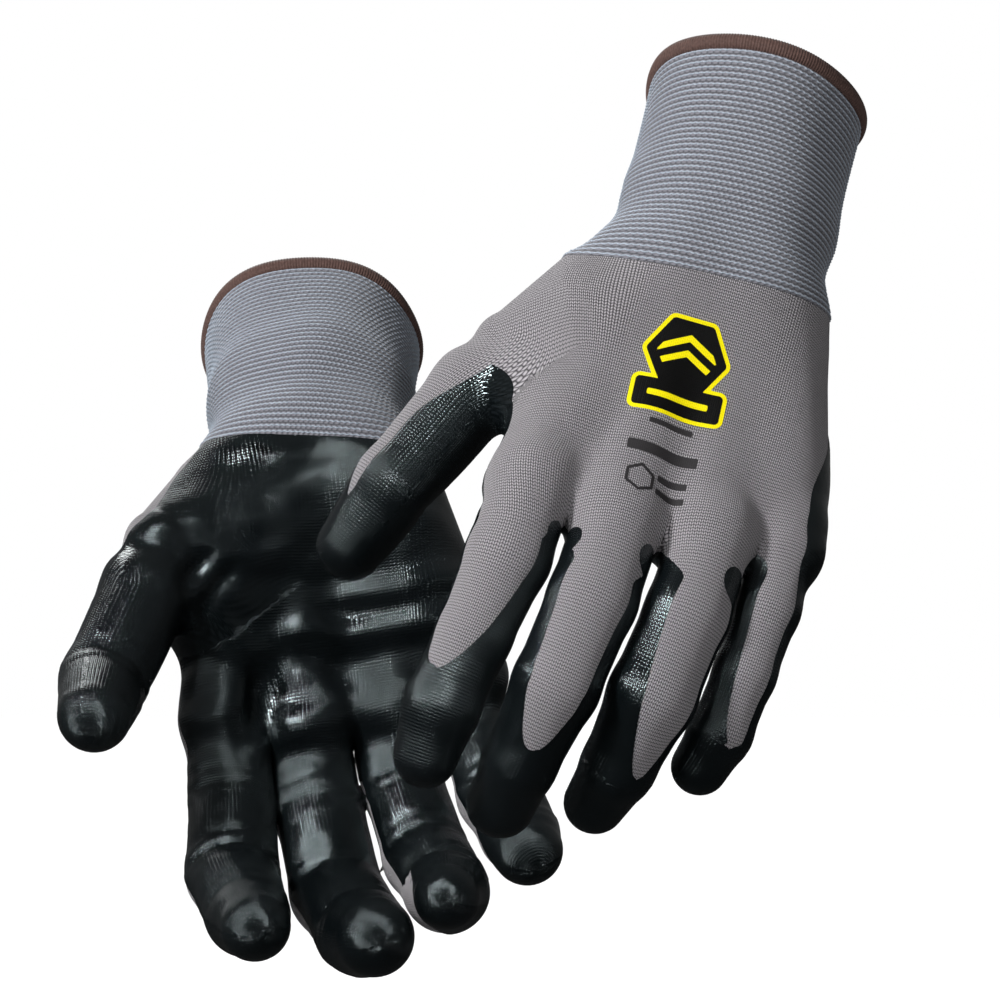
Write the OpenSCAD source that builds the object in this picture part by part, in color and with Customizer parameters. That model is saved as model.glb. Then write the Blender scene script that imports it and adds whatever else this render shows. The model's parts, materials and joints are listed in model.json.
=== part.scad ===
// Pair of seamless knitted work gloves with dipped palms, each on its own stretched-out hand shape.
//
// Frames. The whole pair stands in the row frame: +Z up, the display's front faces -Y.
// A hand frame has its origin in the middle of the wrist, +X to the thumb, +Y to the
// fingertips and +Z out of the back of the hand. The right hand is the left one mirrored.
// A digit frame has its origin on the knuckle, +X to the thumb side, +Y out of the palm
// side and +Z to the fingertip.

/* [Cuff] */
// Length of the knitted cuff, from the wrist to the hem
cuff_len = 66; // [55:1:85]
// Outer radius of the cuff
cuff_r = 30.5; // [28:0.5:33]
// Thickness of the cuff's wall
cuff_wall = 1.4; // [1:0.1:2]
// Thickness of the rolled hem
hem_thick = 3.6; // [3:0.1:4.5]
// Number of elastic threads laid round the cuff
elastic_count = 9; // [4:1:12]
// Width of one elastic thread
elastic_w = 0.8; // [0.5:0.1:1.2]

/* [Hand] */
// Thickness of the hand's knitted wall
hand_wall = 1.4; // [1:0.1:2]
// Thickness of the dipped coat
coat = 0.6; // [0.4:0.1:0.8]
// Outer radius of the hand over each finger's knuckle
knuckle_r = 12.6; // [12.2:0.1:13.2]
// Outer radius of the hand over the thumb's root
thumb_root_r = 15.4; // [15:0.1:16]
// Height of the coat's edge above the middle of the hand's thickness
coat_edge = 3; // [0:0.5:6]
// Width of the printed badge on the back of the hand
badge_w = 22; // [15:1:28]
// Length of the printed badge
badge_len = 23; // [15:1:28]

/* [Digits] */
// Length of the index, middle, ring and little fingers from the web
finger_len = [73.5, 81.6, 76.5, 60]; // [50:0.5:90]
// Length of the thumb's first part, knuckle to knuckle
thumb_len = 34; // [30:1:38]
// Length of the thumb's end part
thumb_tip_len = 30; // [26:1:34]
// Thickness of a digit's knitted wall
digit_wall = 1.2; // [1:0.1:1.3]
// Running gap between two nested parts
gap = 0.4; // [0.35:0.05:0.6]

/* [Left glove's pose] */
// Place of the wrist in the row frame
left_wrist = [68, -60.5, 187]; // [-200:0.5:200]
// Turn of the hand: lean to one side, tilt of the fingertips to the front, roll
left_turn = [14, -31, -5.5]; // [-60:0.5:60]
// Index finger: spread to the thumb, curl at the knuckle, curl at the middle joint
left_index = [10, 17.5, 10.5]; // [-15:0.5:60]
// Middle finger: spread, curl at the knuckle, curl at the middle joint
left_middle = [8, 15, 33]; // [-15:0.5:60]
// Ring finger: spread, curl at the knuckle, curl at the middle joint
left_ring = [5.5, 18, 33]; // [-15:0.5:60]
// Little finger: spread, curl at the knuckle, curl at the middle joint
left_little = [3, 15, 21]; // [-15:0.5:60]
// Thumb: spread, lean to the palm, roll, curl at the tip's joint
left_thumb = [23, 25.5, 4, 12.5]; // [-10:0.5:45]
// Bend of the cuff to the back of the hand
left_cuff_bend = 0; // [-20:1:55]
// Lean of the cuff to the little finger's side
left_cuff_lean = 0; // [-15:0.5:15]

/* [Right glove's pose] */
// Place of the wrist in the row frame
right_wrist = [-44.5, 59.5, 143]; // [-200:0.5:200]
// Turn of the hand: lean to one side, tilt of the fingertips to the front, roll
right_turn = [-8, -13.5, -10]; // [-60:0.5:60]
// Index finger: spread to the thumb, curl at the knuckle, curl at the middle joint
right_index = [8, 15, 30]; // [-15:0.5:60]
// Middle finger: spread, curl at the knuckle, curl at the middle joint
right_middle = [-4.5, 16, 34]; // [-15:0.5:60]
// Ring finger: spread, curl at the knuckle, curl at the middle joint
right_ring = [-6.5, 21, 31.5]; // [-15:0.5:60]
// Little finger: spread, curl at the knuckle, curl at the middle joint
right_little = [-12.5, 20.5, 14]; // [-15:0.5:60]
// Thumb: spread, lean to the palm, roll, curl at the tip's joint
right_thumb = [29, 29, 9.5, 20.5]; // [-10:0.5:45]
// Bend of the cuff to the back of the hand
right_cuff_bend = 44; // [-20:1:55]
// Lean of the cuff to the little finger's side
right_cuff_lean = 12.5; // [-15:0.5:15]

/* [Hidden] */
FINGERS = ["index", "middle", "ring", "little"];
SIDES = ["left", "right"];

// Colours.
KNIT = [0.55, 0.54, 0.56];
CUFF_KNIT = [0.53, 0.54, 0.58];
NITRILE = [0.11, 0.13, 0.14];
HEM_BROWN = [0.35, 0.27, 0.25];
ELASTIC = [0.68, 0.70, 0.76];
PRINT = [0.95, 0.85, 0.10];

// Place of each finger's web in the hand frame, on the finger's own axis.
finger_root = [[32.5, 90, 0], [10, 95, 1.5], [-13.7, 91, 1], [-34.6, 82, -2]];
// Place of the thumb's first knuckle in the hand frame.
thumb_root = [56, 40, -13];
// Knit radius of each finger at its knuckle, middle joint, end joint and tip.
finger_r = [[10.4, 9.9, 9.3, 7.6], [10.5, 10.1, 9.6, 8.2], [10.4, 10, 9.4, 7.8], [9, 8.7, 8.3, 7]];
// Knit radius of the thumb at its two joints and its tip.
thumb_r = [12.8, 11.4, 9];
// Place of each finger joint along the finger, as a share of its length.
joint_share = [0.1, 0.42, 0.71];
// The end joint curls by this share of the middle joint's curl.
tip_share = 0.6;
// Curl that each finger joint can reach from straight: knuckle, middle joint, end joint.
max_curl = [62, 86, 52];
// How far each joint can bend back past straight.
max_back = [12, 4, 4];
// Curl and bend back of the thumb's knuckle, counted from its displayed lean.
thumb_swing = [26, 16];
// Curl and bend back of the thumb's end joint from straight.
thumb_tip_swing = [62, 4];
// Air gap round a digit where it sweeps through its socket.
socket_gap = 0.6;
// Bend of the cuff to the back of the hand and to the palm.
cuff_swing = [56, 42];

wrist_r = cuff_r - 1;
// Height in the cuff where the room for the wrist's ball ends and the grip on the wrist starts.
grip_start = 17;
ball_depth = 0.6;
big = 200;
hand_fn = 24;

/* Turns and moves as 4 by 4 matrices */
function at(v) = [[1, 0, 0, v.x], [0, 1, 0, v.y], [0, 0, 1, v.z], [0, 0, 0, 1]];
function turn_x(a) = [[1, 0, 0, 0], [0, cos(a), -sin(a), 0], [0, sin(a), cos(a), 0], [0, 0, 0, 1]];
function turn_y(a) = [[cos(a), 0, sin(a), 0], [0, 1, 0, 0], [-sin(a), 0, cos(a), 0], [0, 0, 0, 1]];
function turn_z(a) = [[cos(a), -sin(a), 0, 0], [sin(a), cos(a), 0, 0], [0, 0, 1, 0], [0, 0, 0, 1]];
flip_x = [[-1, 0, 0, 0], [0, 1, 0, 0], [0, 0, 1, 0], [0, 0, 0, 1]];

/* Hand frames in the row frame: the left hand shows its back, the right hand its palm */
function hand_frame(side) =
    side == "left"
    ? at(left_wrist) * turn_y(left_turn[0]) * turn_x(left_turn[1]) * turn_z(180) * turn_x(-90)
      * turn_y(left_turn[2])
    : at(right_wrist) * turn_y(right_turn[0]) * turn_x(right_turn[1]) * turn_x(-90)
      * turn_y(right_turn[2]) * flip_x;

function pose(side) =
    side == "left" ? [left_index, left_middle, left_ring, left_little]
                   : [right_index, right_middle, right_ring, right_little];
function thumb_pose(side) = side == "left" ? left_thumb : right_thumb;
function cuff_bend(side) = side == "left" ? left_cuff_bend : right_cuff_bend;
function cuff_lean(side) = side == "left" ? left_cuff_lean : right_cuff_lean;

/* Cuff frame in the hand frame: +Z out of the cuff's mouth, +Y to the back of the hand */
function cuff_frame(side) = turn_x(90 - cuff_bend(side));

/* Tube frame in the cuff frame: the cuff's tube leans from the plane that the wrist bends in */
function tube_frame(side) = turn_y(-cuff_lean(side));

/* Digit frames in the hand frame, at a finger's joint 0 (knuckle), 1 (middle) or 2 (end) */
function finger_curl(side, f, j) =
    j == 2 ? tip_share * pose(side)[f][2] : pose(side)[f][j + 1];
function finger_axis(side, f) =
    at(finger_root[f]) * turn_z(-pose(side)[f][0]) * turn_x(-90) * at([0, 0, joint_share[0] * finger_len[f]]);
function finger_frame(side, f, j) =
    (j == 0 ? finger_axis(side, f)
            : finger_frame(side, f, j - 1) * at([0, 0, segment_len(f, j - 1)]))
    * turn_x(-finger_curl(side, f, j));
function segment_len(f, j) =
    j == 2 ? (1 - joint_share[2]) * finger_len[f] - finger_r[f][3]
           : (joint_share[j + 1] - joint_share[j]) * finger_len[f];
function thumb_frame(side, j) =
    j == 0
    ? at(thumb_root) * turn_z(-thumb_pose(side)[0]) * turn_x(-thumb_pose(side)[1])
      * turn_y(thumb_pose(side)[2]) * turn_x(-90)
    : thumb_frame(side, 0) * at([0, 0, thumb_len]) * turn_x(-thumb_pose(side)[3]);

/* Keeps what lies before a joint at height h: a flat end that is mitred on the palm side */
module keep_before(h, mitre, back_mitre = 0) {
    difference() {
        children();
        translate([0, 0, h - gap / 2]) {
            rotate([-mitre, 0, 0]) translate([-big / 2, -big / 2, 0]) cube(big);
            rotate([back_mitre, 0, 0]) translate([-big / 2, -big / 2, 0]) cube(big);
        }
    }
}

/* Keeps what lies past the joint at the origin, mitred on the palm side and a little on the back */
module keep_past(mitre, back_mitre) {
    difference() {
        children();
        translate([0, 0, gap / 2]) {
            rotate([mitre, 0, 0]) translate([-big / 2, -big / 2, -big]) cube(big);
            rotate([-back_mitre, 0, 0]) translate([-big / 2, -big / 2, -big]) cube(big);
        }
    }
}

/* A band of a hollow ball that nests in the part before it and keeps the joint closed */
module nest(r, wall, depth = ball_depth) {
    difference() {
        sphere(r, $fn = 48);
        sphere(r - wall, $fn = 48);
        translate([-big / 2, -big / 2, -big - depth * r]) cube(big);
        cylinder(r = r - wall, h = big, $fn = 48);
    }
}

/* A digit's knitted tube from r1 to r2, with a nesting ball at its start */
module digit_tube(len, r1, r2, ball_r, mitre_in, back_in, mitre_out) {
    color(KNIT)
        difference() {
            union() {
                keep_before(len, mitre_out)
                    keep_past(mitre_in, back_in)
                        cylinder(r1 = r1, r2 = r2, h = len, $fn = 48);
                nest(ball_r, digit_wall);
            }
            translate([0, 0, -gap])
                cylinder(r1 = ball_r - digit_wall, r2 = r2 - digit_wall, h = len + 2 * gap, $fn = 48);
        }
}

/* The dipped coat on a digit's tube: it wraps the palm side and leaves a strip of the back bare */
module digit_coat(len, r1, r2, mitre_in, back_in, mitre_out) {
    color(NITRILE)
        keep_before(len, mitre_out)
            keep_past(mitre_in, back_in)
                difference() {
                    cylinder(r1 = r1 + coat, r2 = r2 + coat, h = len, $fn = 48);
                    cylinder(r1 = r1, r2 = r2, h = len, $fn = 48);
                    translate([-big / 2, -big - 0.35 * r2, -big / 2]) cube(big);
                }
}

/* A digit's closed end, knit soaked through with coat */
module digit_cap(len, r1, r2, ball_r, mitre_in, back_in) {
    color(NITRILE)
        difference() {
            union() {
                keep_past(mitre_in, back_in)
                    union() {
                        cylinder(r1 = r1 + coat, r2 = r2 + coat, h = len, $fn = 48);
                        translate([0, 0, len]) sphere(r2 + coat, $fn = 48);
                    }
                nest(ball_r, digit_wall);
            }
            translate([0, 0, -gap]) cylinder(r1 = ball_r - digit_wall, r2 = r2 - digit_wall, h = len + gap, $fn = 48);
            translate([0, 0, len]) sphere(r2 - digit_wall, $fn = 48);
        }
}

/* Radius of the ball at a joint where the part before has knit radius r */
function ball_r(r) = r - digit_wall - gap;

module finger_base(side, f) {
    in_finger(side, f, 0)
        digit_tube(segment_len(f, 0), finger_r[f][0], finger_r[f][1], finger_r[f][0] - 0.4,
                   max_curl[0] / 2, max_back[0], max_curl[1] / 2);
}

module finger_base_coat(side, f) {
    in_finger(side, f, 0)
        digit_coat(segment_len(f, 0), finger_r[f][0], finger_r[f][1],
                   max_curl[0] / 2, max_back[0], max_curl[1] / 2);
}

module finger_middle(side, f) {
    in_finger(side, f, 1)
        digit_tube(segment_len(f, 1), finger_r[f][1], finger_r[f][2], ball_r(finger_r[f][1]),
                   max_curl[1] / 2, max_back[1], max_curl[2] / 2);
}

module finger_middle_coat(side, f) {
    in_finger(side, f, 1)
        digit_coat(segment_len(f, 1), finger_r[f][1], finger_r[f][2],
                   max_curl[1] / 2, max_back[1], max_curl[2] / 2);
}

module finger_tip(side, f) {
    in_finger(side, f, 2)
        digit_cap(segment_len(f, 2), finger_r[f][2], finger_r[f][3], ball_r(finger_r[f][2]),
                  max_curl[2] / 2, max_back[2]);
}

module thumb_base(side) {
    in_thumb(side, 0)
        digit_tube(thumb_len, thumb_r[0], thumb_r[1], thumb_r[0] - 0.4,
                   thumb_swing[0] / 2, thumb_swing[1] / 2, thumb_tip_swing[0] / 2);
}

module thumb_base_coat(side) {
    in_thumb(side, 0)
        digit_coat(thumb_len, thumb_r[0], thumb_r[1],
                   thumb_swing[0] / 2, thumb_swing[1] / 2, thumb_tip_swing[0] / 2);
}

module thumb_tip(side) {
    in_thumb(side, 1)
        digit_cap(thumb_tip_len - thumb_r[2], thumb_r[1], thumb_r[2], ball_r(thumb_r[1]),
                  thumb_tip_swing[0] / 2, thumb_tip_swing[1]);
}

module in_hand(side) {
    multmatrix(hand_frame(side)) children();
}

module in_cuff(side) {
    in_hand(side) multmatrix(cuff_frame(side)) children();
}

module in_tube(side) {
    in_cuff(side) multmatrix(tube_frame(side)) children();
}

module in_finger(side, f, j) {
    in_hand(side) multmatrix(finger_frame(side, f, j)) children();
}

module in_thumb(side, j) {
    in_hand(side) multmatrix(thumb_frame(side, j)) children();
}

/* The hand's closed shape, grown by g: a round wrist that flattens to the knuckles, and the thumb's mound */
module hand_shape(side, g) {
    for (f = [0:2])
        hull() {
            wrist_disc(g);
            knuckle(side, f, g);
            knuckle(side, f + 1, g);
        }
    hull() {
        wrist_disc(g);
        thumb_knuckle(side, g);
    }
    hull() {
        thumb_knuckle(side, g);
        translate([26, 30, -6]) sphere(16 + g, $fn = hand_fn);
        translate([26, 60, -2]) sphere(15 + g, $fn = hand_fn);
    }
}

module wrist_disc(g) {
    rotate([-90, 0, 0]) cylinder(r = wrist_r + g, h = 4, $fn = 2 * hand_fn);
}

module knuckle(side, f, g) {
    multmatrix(finger_axis(side, f)) translate([0, 0, -1]) sphere(knuckle_r + g, $fn = hand_fn);
}

module thumb_knuckle(side, g) {
    multmatrix(thumb_frame(side, 0)) translate([0, 0, -2]) sphere(thumb_root_r + g, $fn = hand_fn);
}

/* The space that the cuff and the digits need as they bend: each digit's socket and its sweep */
module joint_room(side) {
    for (f = [0:3])
        multmatrix(finger_axis(side, f))
            digit_room(finger_r[f][0], -max_back[0], max_curl[0]);
    multmatrix(thumb_frame(side, 0))
        digit_room(thumb_r[0], -thumb_swing[1], thumb_swing[0]);
    rotate([-90, 0, 0]) {
        rotate([cuff_swing[1] / 2, 0, 0]) translate([-big / 2, -big / 2, -big + gap]) cube(big);
        rotate([-cuff_swing[0] / 2, 0, 0]) translate([-big / 2, -big / 2, -big + gap]) cube(big);
    }
}

module digit_room(r, back, curl) {
    for (a = [back, 0, curl / 2])
        hull() {
            rotate([-a, 0, 0]) digit_stub(r);
            rotate([-(a < 0 ? 0 : a + curl / 2), 0, 0]) digit_stub(r);
        }
}

module digit_stub(r) {
    cylinder(r = r + coat + socket_gap, h = 3 * r, $fn = hand_fn);
}

module hand_liner(side) {
    color(KNIT)
        in_hand(side) {
            difference() {
                hand_shape(side, 0);
                hand_shape(side, -hand_wall);
                joint_room(side);
            }
            multmatrix(cuff_frame(side) * tube_frame(side)) wrist_ball();
        }
}

/* A band of a ball at the wrist: it nests in the cuff and keeps the bend closed */
module wrist_ball() {
    difference() {
        sphere(cuff_r - cuff_wall - gap, $fn = 2 * hand_fn);
        sphere(cuff_r - 2 * cuff_wall - gap, $fn = 2 * hand_fn);
        translate([-big / 2, -big / 2, grip_start - 2]) cube(big);
        translate([-big / 2, -big / 2, -big - grip_start]) cube(big);
    }
}

module palm_coat(side) {
    color(NITRILE)
        in_hand(side)
            difference() {
                hand_shape(side, coat);
                hand_shape(side, 0);
                joint_room(side);
                translate([-big / 2, -big / 2, coat_edge]) cube(big);
            }
}

/* The printed badge and the short bars below it, as one thin layer on the back of the hand */
module back_print(side) {
    color(PRINT)
        in_hand(side)
            intersection() {
                difference() {
                    hand_shape(side, 0.3);
                    hand_shape(side, 0);
                }
                translate([-2, 42, coat_edge]) linear_extrude(big / 4) print_outline();
            }
}

module print_outline() {
    circle(d = badge_w, $fn = 6);
    for (k = [0:2])
        translate([-5 + k, badge_len / 2 + 4 * k]) square([10 - 2 * k, 2]);
}

module cuff(side) {
    color(CUFF_KNIT)
        in_cuff(side)
            keep_past(cuff_swing[0] / 2, cuff_swing[1] / 2)
                multmatrix(tube_frame(side))
                    difference() {
                        translate([0, 0, -grip_start]) cylinder(r = cuff_r, h = cuff_len + grip_start, $fn = 96);
                        translate([0, 0, -big / 2]) cylinder(r = cuff_r - cuff_wall, h = big, $fn = 96);
                        translate([0, 0, -grip_start])
                            cylinder(r1 = cuff_r - cuff_wall / 3, r2 = cuff_r - cuff_wall, h = 2 * grip_start, $fn = 96);
                    }
}

/* The rolled edge that grips the end of the cuff's wall */
module hem(side) {
    color(HEM_BROWN)
        in_tube(side)
            rotate_extrude($fn = 96)
                difference() {
                    translate([cuff_r - cuff_wall / 2, cuff_len]) circle(d = hem_thick, $fn = 32);
                    square([cuff_r - cuff_wall + 0.3, big]);
                    square([cuff_r, cuff_len]);
                }
}

module cuff_elastic(side) {
    first = cuff_r * tan(max(cuff_swing) / 2) + 2 * elastic_w;
    pitch = (cuff_len - hem_thick - first) / elastic_count;
    color(ELASTIC)
        in_tube(side)
            for (k = [0:elastic_count - 1])
                translate([0, 0, first + k * pitch])
                    difference() {
                        cylinder(r = cuff_r + elastic_w / 2, h = elastic_w, $fn = 96);
                        translate([0, 0, -1]) cylinder(r = cuff_r, h = elastic_w + 2, $fn = 96);
                    }
}

for (side = SIDES) {
    cuff(side);
    hem(side);
    cuff_elastic(side);
    hand_liner(side);
    palm_coat(side);
    back_print(side);
    thumb_base(side);
    thumb_base_coat(side);
    thumb_tip(side);
    for (f = [0:3]) {
        finger_base(side, f);
        finger_base_coat(side, f);
        finger_middle(side, f);
        finger_middle_coat(side, f);
        finger_tip(side, f);
    }
}
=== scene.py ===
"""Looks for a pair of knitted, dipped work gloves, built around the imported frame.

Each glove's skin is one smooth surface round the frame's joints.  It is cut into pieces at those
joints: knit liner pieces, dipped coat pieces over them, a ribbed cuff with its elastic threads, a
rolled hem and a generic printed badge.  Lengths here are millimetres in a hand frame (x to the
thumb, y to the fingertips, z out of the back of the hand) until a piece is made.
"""
import json
import math
import bpy
import numpy as np
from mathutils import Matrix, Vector


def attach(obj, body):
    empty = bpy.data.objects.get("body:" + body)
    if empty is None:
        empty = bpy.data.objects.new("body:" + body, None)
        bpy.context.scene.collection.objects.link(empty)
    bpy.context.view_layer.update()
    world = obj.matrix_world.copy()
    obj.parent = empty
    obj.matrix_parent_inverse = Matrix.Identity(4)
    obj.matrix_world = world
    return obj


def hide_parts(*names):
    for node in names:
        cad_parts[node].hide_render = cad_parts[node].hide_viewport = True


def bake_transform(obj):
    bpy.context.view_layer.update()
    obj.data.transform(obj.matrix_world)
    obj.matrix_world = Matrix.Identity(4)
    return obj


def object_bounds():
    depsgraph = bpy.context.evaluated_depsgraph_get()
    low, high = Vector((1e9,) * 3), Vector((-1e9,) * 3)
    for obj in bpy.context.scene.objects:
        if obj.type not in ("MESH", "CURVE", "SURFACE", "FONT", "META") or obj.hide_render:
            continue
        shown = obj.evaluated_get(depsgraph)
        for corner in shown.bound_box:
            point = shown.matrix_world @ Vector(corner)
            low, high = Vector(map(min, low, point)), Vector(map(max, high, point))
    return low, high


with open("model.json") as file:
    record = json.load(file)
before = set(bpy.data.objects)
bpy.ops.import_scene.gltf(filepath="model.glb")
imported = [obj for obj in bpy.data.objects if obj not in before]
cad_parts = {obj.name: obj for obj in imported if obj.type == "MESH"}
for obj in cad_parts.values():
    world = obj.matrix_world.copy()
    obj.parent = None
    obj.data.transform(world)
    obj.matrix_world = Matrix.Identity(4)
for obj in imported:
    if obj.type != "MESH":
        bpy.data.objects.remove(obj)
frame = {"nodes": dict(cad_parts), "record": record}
cad_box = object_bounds()
RECORD = frame["record"]
JOINTS = {j["name"]: j for j in RECORD["behaviour"]["joints"]}
MOUNTS = {m["name"]: m for m in RECORD["mounts"]}
FINGERS = ("index", "middle", "ring", "little")
SIDES = ("right", "left")
SEED = 7

# Driving sizes of the looks, in mm.
SKIN_STEP = 1.35          # spacing of the skin's mesh
KNIT_WALL = 1.1           # thickness of the liner
COAT_WALL = 0.5           # thickness of the dipped coat
COAT_EDGE = 0.06          # thickness of the coat at its edge
COAT_LIP = 1.6            # width over which the coat's edge thins out
WALE = 1.15               # width of one stitch column of the hand's knit
COURSE = 0.85             # height of one stitch row of the hand's knit
RIB = 1.72                # height of one row of the cuff's knit
RIB_STITCH = 2.0          # width of one stitch of the cuff's knit
CUFF_BEND = 30.0          # where the cuff's span ends, past the wrist along the cuff
CUFF_ROWS = 40            # rows of stitches in a cuff
WEB_CUT = -6.0            # where a finger's own pieces begin, past its knuckle
THUMB_CUT = 6.0           # where the thumb's own pieces begin, past its knuckle
THUMB_TIP_CUT = 11.0      # where the thumb's tip piece begins, before its end joint
THUMB_TIP_BLEND = 10.5    # how far past its end joint the thumb's last span reaches
ROOM_LIGHT = 0.13         # brightness of the room round the gloves

# Skin radius of each finger at its knuckle, middle joint, end joint and tip.  The right glove is
# curled and stuffed fuller.
FINGER_R = {
    "left": {
        "index": (11.0, 9.6, 9.7, 8.3),
        "middle": (11.5, 11.2, 9.4, 8.9),
        "ring": (10.9, 11.4, 9.4, 8.0),
        "little": (8.2, 7.8, 7.9, 7.3),
    },
    "right": {
        "index": (12.0, 12.8, 11.2, 9.7),
        "middle": (12.3, 12.8, 12.3, 11.0),
        "ring": (11.2, 12.0, 11.6, 9.0),
        "little": (9.4, 11.6, 10.7, 9.7),
    },
}
THUMB_R = {"left": (11.8, 10.7, 8.9), "right": (12.5, 12.0, 10.0)}
# How far the middle of the skin lies from those joints, to the thumb's side.
FINGER_SHIFT = {
    "left": {
        "index": (2.2, 1.4, 1.0, -0.8),
        "middle": (0.1, 0.0, 0.4, 0.5),
        "ring": (-1.6, -0.6, 0.5, 2.2),
        "little": (-1.6, -1.1, -0.4, 1.6),
    },
    "right": {
        "index": (0.8, 1.2, -1.7, -2.6),
        "middle": (0.5, 1.6, 0.0, -1.3),
        "ring": (-0.6, -0.6, -0.6, 1.9),
        "little": (-1.4, -1.0, -0.5, 0.0),
    },
}
# Where the thumb's skin starts beside its root joint.
THUMB_SHIFT = (-1.6, -1.1, -5.6)
# Radius of the hand over each finger's knuckle.
PALM_R = {"index": 11.6, "middle": 14.0, "ring": 13.6, "little": 11.8}
# Where each long bone of the palm starts, and where it ends beside its finger's knuckle.
PALM_START = {"index": 13.5, "middle": 5.0, "ring": -7.0, "little": -15.0}
PALM_END = {"index": (1.6, -24.0), "middle": (0.0, -29.0), "ring": (0.0, -27.0), "little": (-1.4, -19.2)}
# The seam between the hand's knit and the cuff: a point on it and the way it faces.
WRIST_SEAM = {
    "left": ((0.0, -0.3, 0.0), (0.08, -1.0, 0.32)),
    "right": ((0.0, -1.9, 0.0), (-0.175, -1.0, 0.0)),
}
# The wrist and cuff at four places along them: how far the middles of two side by side cones lie to
# the thumb's side, and their radius.
WRIST_SHAPE = {
    "left": ((7.7, -7.9, 18.6), (7.0, -6.0, 20.6), (2.7, -5.1, 24.9), (-0.7, -0.4, 29.4)),
    "right": ((5.0, -8.0, 19.3), (3.2, -4.2, 18.0), (2.4, -3.1, 26.3), (5.0, -1.0, 29.2)),
}
# The way that a digit's back faces; the thumb's faces out and a little back.
BACK_OF = {name: (0.0, 0.0, 1.0) for name in FINGERS}
BACK_OF["thumb"] = (0.9, 0.0, 0.44)
# How far before the knuckles each web between two fingers lies.
WEB_BACK = (9.6, 10.0, 3.0)
# The bare knit on each finger's back: where it ends, in mm before the fingertip, the angle it
# closes at, then its edge angles on the thumb's side and on the little finger's side at the web
# and at the end.  Angles are in degrees from the middle of the back, to the thumb's side.
TONGUE = {
    "left": {
        "index": (31.0, 34.0, (88.0, 86.0), (-38.0, 12.0)),
        "middle": (32.0, -6.0, (52.0, 24.0), (-48.0, -36.0)),
        "ring": (26.0, -34.0, (28.0, -14.0), (-74.0, -60.0)),
        "little": (17.0, -31.0, (30.0, 0.0), (-46.0, -54.0)),
    },
    "right": {
        "index": (29.0, 40.0, (90.0, 88.0), (-60.0, 0.0)),
        "middle": (20.0, 40.0, (100.0, 96.0), (-60.0, -30.0)),
        "ring": (10.0, 50.0, (104.0, 110.0), (-70.0, -20.0)),
        "little": (10.0, 20.0, (104.0, 104.0), (-96.0, -84.0)),
    },
}


# ---------------------------------------------------------------- small maths

def unit(v):
    v = np.asarray(v, float)
    return v / np.linalg.norm(v)


def smoothstep(x, lo, hi):
    """0 below lo and 1 above hi, with a smooth rise between them."""
    t = np.clip((x - lo) / (hi - lo), 0.0, 1.0)
    return t * t * (3.0 - 2.0 * t)


def smooth_min(a, b, k):
    """The lower of two fields, rounded where they are less than k apart."""
    h = np.clip(k - np.abs(a - b), 0.0, None) / k
    return np.minimum(a, b) - h * h * k * 0.25


def cone_distance(p, a, b, ra, rb):
    """Distance to a rounded cone from a to b, with the share along it."""
    ab = b - a
    t = np.clip(((p - a) @ ab) / (ab @ ab), 0.0, 1.0)
    gap = p - a - t[..., None] * ab
    return np.sqrt(np.einsum("...i,...i->...", gap, gap)) - (ra + t * (rb - ra)), t


# ---------------------------------------------------------------- the hand's frame and bones

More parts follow.
